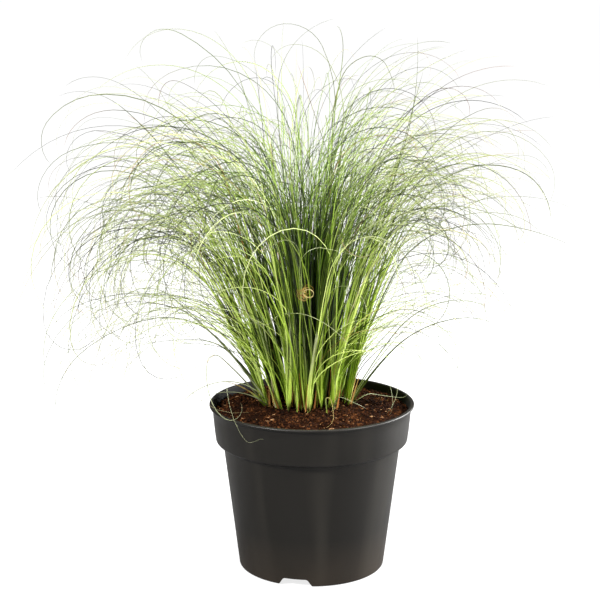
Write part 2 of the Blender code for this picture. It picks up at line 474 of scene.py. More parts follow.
def drainCutter(angle):
    shape = potShape
    turn = Matrix.Rotation(math.radians(angle), 4, "Z")
    place = Matrix.Translation((shape["drainCircle"], 0.0, shape["footHeight"] + shape["floor"] / 2))
    bm = bmesh.new()
    bmesh.ops.create_cone(bm, cap_ends=True, segments=24, radius1=shape["drainRadius"],
                          radius2=shape["drainRadius"], depth=5 * shape["floor"],
                          matrix=turn @ place)
    return looseObject(bm, "drainCutter")


def makePotMaterial():
    finish = potFinishAndPaintedLight
    material, tree, shader = startMaterial("blackPolypropylene")
    coords = addNode(tree, "ShaderNodeTexCoord", -1500, 0)
    place = coords.outputs["Object"]
    grain, grainNormal = addGrain(tree, -1100, 200, place, *finish["grain"])
    clouds = addNoise(tree, -1100, -100, place, *finish["clouds"])
    # fine upright drag lines from the mould, and broad bands a little paler than the rest, partly
    # mould marks and partly painted reflection
    dragPlace = addStretch(tree, -1300, -400, place, finish["dragLines"])
    dragLines = addNoise(tree, -1100, -400, dragPlace, 1.0, 3.0)
    flowAndReflectionPlace = addStretch(tree, -1300, 450, place, finish["flowAndReflectionStretch"])
    flowAndPaintedReflection = addNoise(tree, -1100, 450, flowAndReflectionPlace, 1.0, 2.0)
    flowAndReflectionShare = addRange(tree, -850, 450, flowAndPaintedReflection, finish["flowAndReflectionRange"])
    # the wall's inner face is duller, and darker by painted shade: its normal points towards the axis
    flat = addVectorMath(tree, -1100, 700, "MULTIPLY", place, (1.0, 1.0, 0.0))
    facing = addVectorMath(tree, -900, 700, "DOT_PRODUCT", flat, coords.outputs["Normal"])
    inner = addMath(tree, -700, 700, "LESS_THAN", facing, -0.01)
    # height masks: soil dust low on the body, and a scuffed rim, lighter partly by wear and partly as
    # a painted highlight along the lip
    split = addNode(tree, "ShaderNodeSeparateXYZ", -1100, -700, {"Vector": place})
    height = split.outputs["Z"]
    lowDust = addRange(tree, -850, -700, height, (finish["dustTop"], 0.0),
                       (0.0, finish["dustShare"]))
    dustShare = addMath(tree, -600, -700, "MULTIPLY", lowDust, clouds)
    rimWearAndHighlight = addRange(tree, -850, -950, height, (rimHeight - finish["wornAndHighlightDepth"], rimHeight),
                       (0.0, finish["wornAndHighlightShare"]))
    wornAndHighlightShare = addMath(tree, -600, -950, "MULTIPLY", rimWearAndHighlight, grain)
    colour = mixColours(tree, -650, 350, flowAndReflectionShare, finish["colour"], finish["flowAndPaintedReflection"])
    colour = mixColours(tree, -450, 350, inner, colour, finish["insidePaintedShade"])
    colour = mixColours(tree, -400, 0, dustShare, colour, finish["dust"])
    colour = mixColours(tree, -200, 0, wornAndHighlightShare, colour, finish["wornAndPaintedHighlight"])
    half = addMath(tree, -850, -300, "MULTIPLY", clouds, 0.5)
    both = addMath(tree, -650, -300, "MULTIPLY_ADD", dragLines, 0.5, half)
    level = addRange(tree, -400, -300, both, (0.0, 1.0), finish["roughness"])
    roughness = addMath(tree, -200, -300, "MULTIPLY_ADD", inner, finish["insideDuller"], level)
    feed(tree, shader, {"Base Color": colour, "Roughness": roughness, "Normal": grainNormal,
                        "Specular IOR Level": finish["specular"]})
    return material


def makePot():
    shape = potShape
    skirt = shape["base"] - shape["footWidth"]
    profile = [(0.0, shape["footHeight"] + shape["floor"])] + potInside() + potLip()
    profile += potOutside()
    profile += [(skirt + 0.0004, 0.0), (skirt, 0.0004), (skirt, shape["footHeight"] - 0.0006),
                (skirt - 0.0006, shape["footHeight"]), (0.0, shape["footHeight"])]
    bm = spinProfile(profile, shape["segments"])
    for vert in bm.verts:
        # thin walls are never quite round: they wander a few tenths of a millimetre
        angle = math.atan2(vert.co.y, vert.co.x)
        rise = max(vert.co.z, 0.0) / rimHeight
        wander = 0.00028 * math.sin(2 * angle + 0.7) + 0.00016 * math.sin(5 * angle + 2.1)
        reach = math.hypot(vert.co.x, vert.co.y)
        if reach > 0.05:
            grow = 1.0 + (wander * rise - 0.00042 * rise) / reach
            vert.co.x *= grow
            vert.co.y *= grow
    pot = linkPiece("nurseryPot", meshFrom(bm, "nurseryPot"), makePotMaterial(),
                    ("pot",))
    cutters = [notchCutter(angle) for angle in shape["notchAngles"]]
    for number in range(shape["drains"]):
        angle = 360.0 * (number + 0.5) / shape["drains"] + shape["notchAngles"][0]
        cutters.append(drainCutter(angle))
    applyBoolean(pot, cutters)
    pot.data.shade_smooth()
    pot.data.set_sharp_from_angle(angle=math.radians(40))


makePot()
print("pot made")


soilShape = {
    "belowRim": 0.0075,
    "shoulder": 0.030,
    "segments": 150,
    "ringStep": 0.0022,
    "lump": 0.0026,
    "rough": 0.0014,
    "crumbs": 8000,
    "crumbSize": (0.0004, 0.0017),
    "fibreChance": 0.03,
    "fibreTone": 1.15,
}

soilFinish = {
    "colours": ((0.12, (0.0022, 0.0007, 0.0002)), (0.45, (0.021, 0.0060, 0.0014)),
                (0.78, (0.110, 0.038, 0.0110)), (1.0, (0.500, 0.300, 0.150))),
    "grain": (520.0, 0.9, 0.0009, 0.7),
    "grainWeight": 0.55,
    "toneWeight": 0.62,
    "toneShift": -0.10,
    "roughness": 0.86,
    "specular": 0.07,
}

soilEdge = rimHeight - soilShape["belowRim"]  # how high the soil stands along the wall


def soilHeight(x, y):
    # domed up to the clump, low along the pot's wall, and uneven all over
    reach = math.hypot(x, y)
    dome = smooth((collarRadius(soilEdge) - potShape["wall"] - reach) / soilShape["shoulder"])
    height = between(soilEdge, soilTop - 0.0008, dome)
    height += soilShape["lump"] * noise.noise(Vector((x, y, 0.3)) * 60.0)
    height += soilShape["rough"] * noise.noise(Vector((x, y, 1.7)) * 190.0)
    return min(height, soilTop + 0.0012)


def makeSoilMaterial():
    finish = soilFinish
    material, tree, shader = startMaterial("peatCompost")
    coords = addNode(tree, "ShaderNodeTexCoord", -1200, 0)
    grain, grainNormal = addGrain(tree, -900, 100, coords.outputs["Object"], *finish["grain"])
    tone = readAttribute(tree, -1200, -250, "crumbTone")
    shift = addMath(tree, -850, -250, "MULTIPLY_ADD", tone, finish["toneWeight"],
                    finish["toneShift"])
    blend = addMath(tree, -650, 0, "MULTIPLY_ADD", grain, finish["grainWeight"], shift)
    colour = addRamp(tree, -450, 0, blend, finish["colours"])
    feed(tree, shader, {"Base Color": colour, "Roughness": finish["roughness"],
                        "Normal": grainNormal, "Specular IOR Level": finish["specular"]})
    return material


soilMaterial = makeSoilMaterial()


def makeSoil():
    gap = 0.0005
    edgeRadius = collarRadius(soilEdge) - potShape["wall"] - gap
    rings = int(edgeRadius / soilShape["ringStep"])
    profile = [(edgeRadius * step / rings, soilTop) for step in range(rings + 1)]
    wallLine = potInside(gap)
    profile += list(reversed(wallLine)) + [(0.0, wallLine[0][1])]
    bm = spinProfile(profile, soilShape["segments"])
    tone = bm.verts.layers.float.new("crumbTone")
    for vert in bm.verts:
        if vert.co.z > soilTop - 0.0001:
            vert.co.z = soilHeight(vert.co.x, vert.co.y)
        vert[tone] = 0.25 + 0.5 * noise.noise(vert.co * 260.0)
    mesh = meshFrom(bm, "compost")
    mesh.shade_smooth()
    linkPiece("compost", mesh, soilMaterial, ("soil",))


def addCrumb(bm, tone, dice, outer):
    low, high = soilShape["crumbSize"]
    size = between(low, high, dice.random() ** 2.6)
    reach = (outer - size) * math.sqrt(dice.random())
    angle = dice.uniform(0.0, 2 * math.pi)
    x, y = reach * math.cos(angle), reach * math.sin(angle)
    place = Matrix.Translation((x, y, soilHeight(x, y) + size * dice.uniform(-0.2, 0.9)))
    turn = (Matrix.Rotation(dice.uniform(0, 6.28), 4, "Z")
            @ Matrix.Rotation(dice.uniform(0, 3.14), 4, "X"))
    squeeze = Matrix.Diagonal((dice.uniform(0.8, 1.5), dice.uniform(0.7, 1.1),
                               dice.uniform(0.5, 0.9), 1.0))
    moist = 0.5 + 0.9 * noise.noise(Vector((x, y, 4.1)) * 55.0)
    shade = min(max(dice.random() ** 1.5 * 0.75 + 0.45 * moist - 0.12, 0.0), 1.0)
    if dice.random() < soilShape["fibreChance"]:
        shade = soilShape["fibreTone"]
        squeeze = Matrix.Diagonal((2.2, 0.5, 0.5, 1.0))
    made = bmesh.ops.create_icosphere(bm, subdivisions=1, radius=size, matrix=place @ turn @ squeeze)
    for vert in made["verts"]:
        vert.co += size * 0.35 * noise.noise_vector(vert.co * 900.0)
        vert[tone] = shade


def makeCrumbs():
    # made a few at a time and gathered, which is far quicker than one at a time
    dice = random.Random(11)
    outer = collarRadius(soilEdge) - potShape["wall"] - 0.0010
    whole = bmesh.new()
    whole.verts.layers.float.new("crumbTone")
    batch = 40
    for number in range(soilShape["crumbs"] // batch):
        few = bmesh.new()
        tone = few.verts.layers.float.new("crumbTone")
        for crumb in range(batch):
            addCrumb(few, tone, dice, outer)
        mesh = meshFrom(few, "few")
        whole.from_mesh(mesh)
        bpy.data.meshes.remove(mesh)
    linkPiece("compostCrumbs", meshFrom(whole, "compostCrumbs"), soilMaterial)


makeSoil()
makeCrumbs()
print("soil made")


# each strand's cross-section, for a width of 2
strandSections = {
    "leaf": ((1.0, 0.0), (0.0, -0.85), (-1.0, 0.0)),
    "stem": ((1.0, 0.0), (0.5, -0.72), (-0.5, -0.72), (-1.0, 0.0), (-0.5, 0.72), (0.5, 0.72)),
}

clumpCentre = Vector((-0.005, 0.014, 0.0))
clumpRadius = 0.041  # across the feet of the outer shoots

leafShape = {
    "stations": {"leaf": 25, "stem": 10},
    "fineSteps": 72,
    "kinds": {"arching": 68, "straight": 18, "hoop": 14},
    "kindWidths": {"low": 0.65, "curl": 0.50},
    "wide": (0.70, 1.10),
    "footWidth": 0.0016,
    "middleWidth": 0.00125,
    "farWidth": 0.00070,
    "tipWidth": 0.00032,
    "innerPaintedShade": 0.50,
    "dryTipChance": 0.30,
    "dryTip": (0.2, 0.9),
    "allDryChance": 0.008,
    "allDry": 0.7,
    "curlTone": (0.55, 0.90),
    "tries": 24,
    "boxMargin": 0.005,
}

stemShape = {
    "length": (0.075, 0.125),
    "wide": (0.82, 1.18),
    "footWidth": 0.0034,
    "endWidth": 0.0016,
    "sag": 0.0012,
    "tone": (0.25, 0.92),
    "redChance": 0.55,
    "red": (0.2, 0.95),
    "depth": 0.004,
    "sheathChance": 0.65,
    "sheathLength": (0.014, 0.042),
    "sheathWidth": (0.0018, 0.0032),
}

# the ranges for leaves that lean right, then for those that lean left, which arch wider
tuftRings = {
    "outer": {"shoots": 6, "leaves": (6, 8), "lean": ((10.0, 3.5), (16.5, 6.5)),
              "length": ((0.28, 0.41), (0.34, 0.51)), "turn": ((60.0, 200.0), (120.0, 285.0)),
              "straight": ((0.30, 0.50), (0.25, 0.43)), "opening": (1.0, 14.0), "fan": 24.0,
              "depth": 0.0075, "low": (2.5, 3.6), "curls": 2},
    "inner": {"shoots": 5, "leaves": (9, 11), "lean": ((6.5, 3.0), (8.5, 4.0)),
              "length": ((0.28, 0.43), (0.30, 0.46)), "turn": ((60.0, 215.0), (90.0, 260.0)),
              "straight": ((0.34, 0.56), (0.28, 0.50)), "opening": (1.0, 12.0), "fan": 48.0,
              "depth": 0.0075, "low": (0, 0), "curls": 0},
    "centre": {"shoots": 5, "leaves": (9, 12), "lean": ((3.0, 2.5), (4.0, 3.0)),
               "length": ((0.29, 0.44), (0.30, 0.46)), "turn": ((50.0, 240.0), (60.0, 260.0)),
               "straight": ((0.38, 0.64), (0.36, 0.60)), "opening": (1.0, 11.0), "fan": 85.0,
               "depth": 0.0065, "low": (0, 0), "curls": 0},
}

# colours along a leaf from foot to tip, each with its share of the way; the dark feet of the inner
# and centre leaves are painted shade deep in the clump
leafColoursAndPaintedShade = {
    "outer": ((0.0, (0.400, 0.570, 0.052)), (0.32, (0.490, 0.620, 0.105)),
              (0.62, (0.280, 0.310, 0.165)), (1.0, (0.230, 0.232, 0.180))),
    # dark foot: painted shade between the stems
    "inner": ((0.0, (0.060, 0.100, 0.008)), (0.28, (0.090, 0.155, 0.012)),
              (0.46, (0.280, 0.420, 0.048)), (0.68, (0.270, 0.330, 0.130)),
              (1.0, (0.240, 0.245, 0.180))),
    # darkest foot: painted shade in the middle of the clump
    "centre": ((0.0, (0.022, 0.036, 0.004)), (0.34, (0.050, 0.090, 0.007)),
               (0.54, (0.210, 0.340, 0.034)), (0.76, (0.220, 0.290, 0.095)),
               (1.0, (0.260, 0.270, 0.180))),
}

bladeFinishAndPaintedLight = {
    # random leaf to leaf tone, stretched into painted shade near black and painted highlight above
    # white
    "tonesAndPaintedLight": ((0.0, (0.012, 0.018, 0.003)), (0.30, (0.22, 0.29, 0.06)),
              (0.60, (0.90, 0.98, 0.66)), (1.0, (1.36, 1.34, 1.15))),
    # painted highlight: the pale green the palest leaves are mixed towards
    "paintedMilkHighlight": (0.63, 0.71, 0.31),
    "milkyFrom": 0.58,
    "milkyMost": 0.55,
    "milkyLoss": 0.75,
    "dry": ((0.0, (0.20, 0.075, 0.028)), (0.45, (0.48, 0.20, 0.055)),
            (0.75, (0.60, 0.42, 0.14)), (1.0, (0.56, 0.48, 0.28))),
    "grain": (700.0, 0.25, 0.00015, 0.6),
    "mottle": 0.30,
    "roughness": (0.34, 0.56),
    "specular": 0.32,
}

# long strays placed one by one: tone, greyness, dryness of the tip and width, then the foot,
# the tip's Y, the first lean to the right in degrees, and each leg's length and turn
strayLeaves = {
    "topLoop": (0.35, 0.70, 0, 0.9, (0.004, 0.014), 0.0, 2,
                ((0.27, 3), (0.065, -30), (0.04, -65), (0.045, -90), (0.018, -5))),
    "topLoopInner": (0.6, 0.70, 0, 0.72, (0.010, 0.018), 0.010, 4,
                     ((0.265, 0), (0.055, -35), (0.038, -60), (0.026, -65))),
    "topRight": (0.4, 0.70, 0, 0.72, (-0.012, 0.020), 0.020, -2,
                 ((0.245, -4), (0.05, 8), (0.04, 35), (0.045, 40))),
    "hoop": (0.4, 0.70, 0, 0.81, (0.014, 0.020), 0.020, 1,
             ((0.262, 0), (0.042, 20), (0.03, 55), (0.022, 75), (0.03, 25))),
    "mast": (0.35, 0.3, 0, 0.8, (0.028, 0.010), 0.0, 10, ((0.20, 4), (0.05, 2), (0.10, -20))),
    "secondMast": (0.4, 0.3, 0, 0.7, (0.026, 0.020), 0.020, 12, ((0.32, 3),)),
    "rightHook": (0.3, 0.70, 0, 0.9, (0.022, 0.022), 0.020, 1,
                  ((0.24, 6), (0.05, 25), (0.045, 45), (0.05, 75))),
    "bigLeftArc": (0.3, 0.70, 0, 0.99, (-0.034, 0.004), 0.0, -6,
                   ((0.18, -8), (0.085, -26), (0.10, -55), (0.05, -45), (0.045, -85))),
    "farLeft": (0.3, 0.70, 0, 0.9, (-0.040, 0.010), 0.0, -15,
                ((0.15, -8), (0.075, -20), (0.10, -85), (0.035, -35), (0.04, -95))),
    "lowLeft": (0.3, 0.70, 0, 0.9, (-0.042, 0.0), -0.020, -22,
                ((0.08, -20), (0.07, -60), (0.07, -28), (0.05, -40), (0.035, -90))),
    "lowLeftBow": (0.35, 0.70, 0, 0.81, (-0.041, 0.012), 0.0, -22,
                   ((0.065, -25), (0.03, -40), (0.07, -20), (0.02, -25))),
    "leftLoop": (0.3, 0.70, 0, 0.81, (-0.040, 0.006), 0.0, -17,
                 ((0.14, -12), (0.065, -70), (0.06, -45), (0.07, -30), (0.04, -35), (0.05, -75))),
    "farRight": (0.4, 0.70, 0, 0.81, (0.030, 0.012), 0.0, 13,
                 ((0.14, 14), (0.05, 40), (0.06, 30), (0.07, 20))),
    "rightBow": (0.3, 0.70, 0, 0.9, (0.030, 0.016), 0.0, 12,
                 ((0.16, 10), (0.06, 20), (0.08, 65), (0.06, 70))),
    "rightHigh": (0.5, 0.70, 0, 0.63, (0.028, 0.018), 0.020, 13,
                  ((0.21, 10), (0.035, 15), (0.075, 65), (0.045, 40), (0.045, 70))),
    "rightLow": (0.3, 0.70, 0, 0.81, (0.034, 0.0), -0.020, 27,
                 ((0.07, 15), (0.07, 40), (0.03, 30), (0.015, 35))),
    "rightLower": (0.4, 0.70, 0, 0.72, (0.035, 0.014), 0.0, 25,
                   ((0.085, 12), (0.06, 45), (0.035, 40), (0.015, 25))),
    "rimWisp": (0.68, 0.9, 0, 0.6, (-0.036, -0.006), -0.060, -20,
                ((0.03, -30), (0.035, -45), (0.03, -35), (0.03, -40))),
    "rimHook": (0.68, 0.9, 0, 0.6, (-0.038, -0.004), -0.070, -25,
                ((0.025, -30), (0.035, -35), (0.02, -60))),
    "rimSling": (0.78, 0.95, 0, 0.6, (-0.036, -0.008), -0.102, -24,
                 ((0.065, -12), (0.010, -140), (0.042, -28), (0.018, -18), (0.008, -85), (0.006, 0),
                  (0.006, 60))),
    "rimLoop": (0.72, 0.95, 0, 0.6, (-0.040, 0.0), -0.076, -30,
                ((0.073, -12), (0.015, -130), (0.036, -35), (0.015, -35), (0.012, -70), (0.02, -75))),
    "hangLeft": (0.60, 0.9, 0, 0.5, (-0.038, 0.002), -0.030, -28,
                 ((0.12, -22), (0.055, -110), (0.15, -28))),
    "hangLeftOuter": (0.56, 0.9, 0, 0.5, (-0.040, 0.008), -0.010, -30,
                      ((0.14, -20), (0.06, -105), (0.13, -18))),
    "hangRight": (0.50, 0.7, 0, 0.6, (0.034, 0.004), -0.020, 26,
                  ((0.10, 16), (0.08, 70), (0.06, 45))),
    "strawLeft": (0.75, 0, 0.9, 1, (-0.041, -0.004), -0.040, -25, ((0.02, -15), (0.035, -30))),
    "frontCurl": (0.6, 0.3, 0.5, 0.7, (0.014, -0.028), -0.072, -5,
                  ((0.022, 0), (0.006, 170), (0.012, 10), (0.008, 60), (0.006, 30))),
    "soilCurl": (0.68, 0.9, 0, 0.55, (0.034, 0.002), -0.026, 35,
                 ((0.022, 20), (0.008, 40), (0.024, -5), (0.006, -45), (0.006, -120))),
    "soilWisp": (0.68, 0.9, 0, 0.55, (0.018, -0.020), -0.048, 12,
                 ((0.018, 8), (0.006, 85), (0.022, 5))),
    "frontHook": (0.8, 0.1, 0, 0.8, (-0.006, -0.020), -0.064, -8,
                  ((0.11, 12), (0.048, -12), (0.024, -110), (0.055, -35))),
    "frontArch": (0.8, 0.15, 0, 0.7, (0.010, -0.018), -0.070, -11,
                  ((0.11, 2), (0.035, 12), (0.03, 95), (0.03, 8), (0.035, -22))),
    "frontBow": (0.75, 0.15, 0, 0.7, (-0.020, -0.016), -0.062, -3,
                 ((0.085, -6), (0.02, -95), (0.014, 22), (0.018, 58), (0.02, 40))),
    "frontRight": (0.8, 0.1, 0, 0.7, (0.020, -0.014), -0.062, -1,
                   ((0.09, -5), (0.024, 8), (0.026, 105), (0.03, 80))),
    "frontDrop": (0.75, 0.15, 0, 0.7, (-0.030, -0.012), -0.062, -6,
                  ((0.08, -2), (0.025, 80), (0.03, 40), (0.04, 30))),
}

strayShape = {"step": 0.001, "wide": 1.5, "sheath": 0.02}

tangleShape = {
    "place": (-0.005, -0.054, 0.270),
    "scatter": 0.0022,
    "coils": 10,
    "size": (0.0030, 0.0075),
    "turn": (4.0, 9.0),
    "width": 0.00050,
    "dry": 0.75,
}

# a leaf stays clear of the pot, but for its first few points, which stand in the soil
potClear = {"radius": rimRadius + 0.003, "height": rimHeight + 0.002, "pastFoot": 8}


def makeLeafMaterial(name, colours):
    finish = bladeFinishAndPaintedLight
    material, tree, shader = startMaterial(name)
    along = readAttribute(tree, -1300, 200, "leafAlong")
    tone = readAttribute(tree, -1300, -50, "leafToneAndShade")
    dry = readAttribute(tree, -1300, -300, "leafDry")
    coords = addNode(tree, "ShaderNodeTexCoord", -1300, -550)
    grain, grainNormal = addGrain(tree, -1000, -550, coords.outputs["Object"], *finish["grain"])
    # leaf to leaf, at random: each leaf's own tone from dark old green to pale yellow green,
    # stretched into painted shade at the dark end and painted highlight at the pale end
    own = addRamp(tree, -1000, 200, along, colours)
    shade = addRamp(tree, -1000, -50, tone, finish["tonesAndPaintedLight"])
    colour = mixColours(tree, -700, 100, 1.0, own, shade, "MULTIPLY")
    # painted highlight: the palest leaves are mixed towards a pale milk green, less so towards their
    # tips
    paintedMilkHighlight = addRange(tree, -1000, 450, tone, (finish["milkyFrom"], 1.0),
                     (0.0, finish["milkyMost"]))
    nearer = addMath(tree, -1000, 650, "MULTIPLY_ADD", along, -finish["milkyLoss"], 1.0)
    paintedHighlightShare = addMath(tree, -780, 500, "MULTIPLY", paintedMilkHighlight, nearer)
    colour = mixColours(tree, -560, 250, paintedHighlightShare, colour, finish["paintedMilkHighlight"])
    # brown and straw where the leaf or its sheath has dried
    straw = addRamp(tree, -1000, -300, tone, finish["dry"])
    colour = mixColours(tree, -450, 0, dry, colour, straw)
    colour = mixColours(tree, -200, 0, finish["mottle"], colour, grain, "OVERLAY")
    roughness = addRange(tree, -450, -300, grain, (0.0, 1.0), finish["roughness"])
    feed(tree, shader, {"Base Color": colour, "Roughness": roughness, "Normal": grainNormal,
                        "Specular IOR Level": finish["specular"]})
    return material


def unit(rows):
    return rows / np.linalg.norm(rows, axis=1, keepdims=True)


def turnRows(rows, hinges, angles):
    # turns each row about its own hinge
    cosine, sine = np.cos(angles)[:, None], np.sin(angles)[:, None]
    lift = np.sum(hinges * rows, axis=1, keepdims=True)
    return rows * cosine + np.cross(hinges, rows) * sine + hinges * lift * (1.0 - cosine)


def ease(share):
    share = np.clip(share, 0.0, 1.0)
    return share * share * (3.0 - 2.0 * share)


def leafRoute(foot, axis, form):
    # walks up the leaf: along the shoot, out of its sheath, then over and down in an arc
    steps = leafShape["fineSteps"]
    share = (np.arange(steps) + 0.5) / steps
    side = np.array((-math.sin(form["heading"]), math.cos(form["heading"]), 0.0))
    outward = np.array((math.cos(form["heading"]), math.sin(form["heading"]), 0.0))
    opened = Quaternion(Vector(side), math.radians(form["opening"])) @ axis
    out = ease((share * form["length"] - form["sheath"]) / 0.055)[:, None]
    way = unit(np.array(axis) * (1.0 - out) + np.array(opened) * out)
    beyond = np.clip((share - form["straight"]) / (1.0 - form["straight"]), 0.0, 1.0)
    late = np.clip((beyond - 0.70) / 0.30, 0.0, 1.0)
    angle = form["turn"] * beyond ** form["bend"] + form["curl"] * late ** 1.5
    angle += form["sway"] * share ** 1.5 * np.sin(form["waves"] * share + form["phase"])
    hinges = unit(side + outward * (form["drift"] * share)[:, None])
    way = turnRows(way, hinges, np.radians(angle))
    swing = form["swing"] * share ** 1.4 * np.sin(form["waves"] * 0.8 * share + form["phase"] * 2.3)
    upright = np.tile((0.0, 0.0, 1.0), (steps, 1))
    way = turnRows(way, upright, np.radians(swing))
    points = np.vstack((np.zeros(3), np.cumsum(way, axis=0) * form["length"] / steps))
    return points + np.array(foot)


def routeIsClear(points, lowest):
    low, high = cadBounds
    free = points[potClear["pastFoot"]:]
    reach = np.hypot(free[:, 0], free[:, 1])
    if np.any((reach < potClear["radius"]) & (free[:, 2] < potClear["height"])):
        return False
    margin = leafShape["boxMargin"]
    return bool(free[:, 2].min() > lowest and free[:, 2].max() < high.z + 0.002
                and free[:, 0].min() > low.x - margin and free[:, 0].max() < high.x + margin
                and free[:, 1].min() > low.y - margin and free[:, 1].max() < high.y + margin)


def pickStations(points, count):
    # more stations where the leaf bends, fewer where it is straight
    way = unit(np.diff(points, axis=0))
    bends = np.arccos(np.clip(np.sum(way[1:] * way[:-1], axis=1), -1.0, 1.0))
    turned = np.concatenate(((0.0,), np.cumsum(bends), (bends.sum(),)))
    run = np.linspace(0.0, 1.0, len(points))
    measure = 0.40 * run + 0.60 * turned / max(turned[-1], 0.05)
    measure = measure / measure[-1]
    shares = np.interp(np.linspace(0.0, 1.0, count), measure, run)
    places = np.stack([np.interp(shares, run, points[:, axis]) for axis in range(3)], 1)
    return shares, places


def leafWidths(shares, length, sheath):
    shape = leafShape
    width = shape["footWidth"] + (shape["middleWidth"] - shape["footWidth"]) * ease(
        (shares * length - 0.3 * sheath) / 0.12)
    width += (shape["farWidth"] - width) * ease((shares - 0.20) / 0.38)
    width += (shape["tipWidth"] - width) * ease((shares - 0.70) / 0.30)
    return width


def innerShade(places):
    # little light gets in between the stems, and more the higher and farther out
    reach = np.hypot(places[:, 0] - clumpCentre.x, places[:, 1] - clumpCentre.y)
    rise = np.maximum(places[:, 2] - soilTop, 0.0)
    depth = 1.0 - ease((reach / (clumpRadius + 0.40 * rise) - 0.40) / 0.55)
    return 1.0 - leafShape["innerPaintedShade"] * depth * (1.0 - ease((rise - 0.13) / 0.13))


class StrandBundle:
    # gathers strands, then makes them one mesh
    def __init__(self):
        self.strands = {"leaf": [], "stem": []}

    def add(self, kind, points, width, tone, dry, twist=(0.0, 0.0), grey=0.0):
        # width and dry are functions of the share along; grey ages the colour from the start
        shares, places = pickStations(np.asarray(points), leafShape["stations"][kind])
        widths = width(shares) * np.ones(len(shares))
        widths[0] = widths[-1] = 0.0
        # the tone is darkened by the painted shade of the clump's inside
        self.strands[kind].append((places, widths, shares, twist, tone * innerShade(places),
                                   dry(shares), grey + (1.0 - grey) * shares))

    def makeMesh(self, name):
        total = sum(len(strands) for strands in self.strands.values())
        whole = bmesh.new()
        first = 0
        for kind, strands in self.strands.items():
            if not strands:
                continue
            mesh = sweepStrands(strands, strandSections[kind])
            paintStrands(mesh, strands, len(strandSections[kind]), first, total)
            mesh.shade_smooth()
            if kind == "leaf":
                mesh.set_sharp_from_angle(angle=math.radians(50))
            whole.from_mesh(mesh)
            bpy.data.meshes.remove(mesh)
            first += len(strands)
        bmesh.ops.remove_doubles(whole, verts=whole.verts, dist=0.000004)
        bmesh.ops.dissolve_degenerate(whole, edges=whole.edges, dist=0.000002)
        return meshFrom(whole, name)


def sweepStrands(strands, section):
    flat = bpy.data.curves.new("section", "CURVE")
    flat.dimensions = "2D"
    outline = flat.splines.new("POLY")
    outline.points.add(len(section) - 1)
    for point, (x, y) in zip(outline.points, section):
        point.co = (x, y, 0.0, 1.0)
    outline.use_cyclic_u = True
    profile = bpy.data.objects.new("section", flat)
    scene.collection.objects.link(profile)
    data = bpy.data.curves.new("strands", "CURVE")
    data.dimensions = "3D"
    data.bevel_mode = "OBJECT"
    data.bevel_object = profile
    for places, widths, shares, twist, tone, dry, along in strands:
        spline = data.splines.new("POLY")
        spline.points.add(len(shares) - 1)
        for number, point in enumerate(spline.points):
            point.co = (*places[number], 1.0)
            point.radius = widths[number] / 2
            point.tilt = twist[0] + twist[1] * shares[number]
    holder = bpy.data.objects.new("strands", data)
    scene.collection.objects.link(holder)
    view = bpy.context.evaluated_depsgraph_get()
    mesh = bpy.data.meshes.new_from_object(holder.evaluated_get(view))
    bpy.data.objects.remove(holder)
    bpy.data.objects.remove(profile)
    return mesh


def paintStrands(mesh, strands, corners, first, total):
    # along, tone with the painted shade of the clump's inside, and dryness for the material, and one
    # column of the map for each strand
    shares = np.array([strand[6] for strand in strands])
    tonesAndPaintedLight = np.array([strand[4] for strand in strands])
    drys = np.array([strand[5] for strand in strands])
    for name, values in (("leafAlong", np.repeat(shares.ravel(), corners)),
                         ("leafToneAndShade", np.repeat(tonesAndPaintedLight.ravel(), corners)),
                         ("leafDry", np.repeat(drys.ravel(), corners))):
        layer = mesh.attributes.new(name, "FLOAT", "POINT")
        layer.data.foreach_set("value", values.astype(np.float32))
    layer = mesh.uv_layers[0]
    layer.name = "OFBake"
    uv = np.empty(len(mesh.loops) * 2, np.float32)
    layer.uv.foreach_get("vector", uv)
    uv = uv.reshape(-1, 2)
    column = first + np.repeat(np.arange(len(strands)), len(uv) // len(strands))
    laid = np.stack(((column + 0.06 + 0.88 * uv[:, 1]) / total, 0.005 + 0.99 * uv[:, 0]), 1)
    layer.uv.foreach_set("vector", laid.astype(np.float32).ravel())


def readTuft(node):
    # the foot of a CAD tuft
    spots = [vert.co.copy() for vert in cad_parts[node].data.vertices]
    feet = [spot for spot in spots if spot.z < soilTop + 0.002
            and math.hypot(spot.x, spot.y) < clumpRadius + 0.03]
    return sum(feet, Vector()) / len(feet)


def tiltedWay(heading, lean):
    lean = math.radians(lean)
    return Vector((math.sin(lean) * math.cos(heading), math.sin(lean) * math.sin(heading),
                   math.cos(lean)))


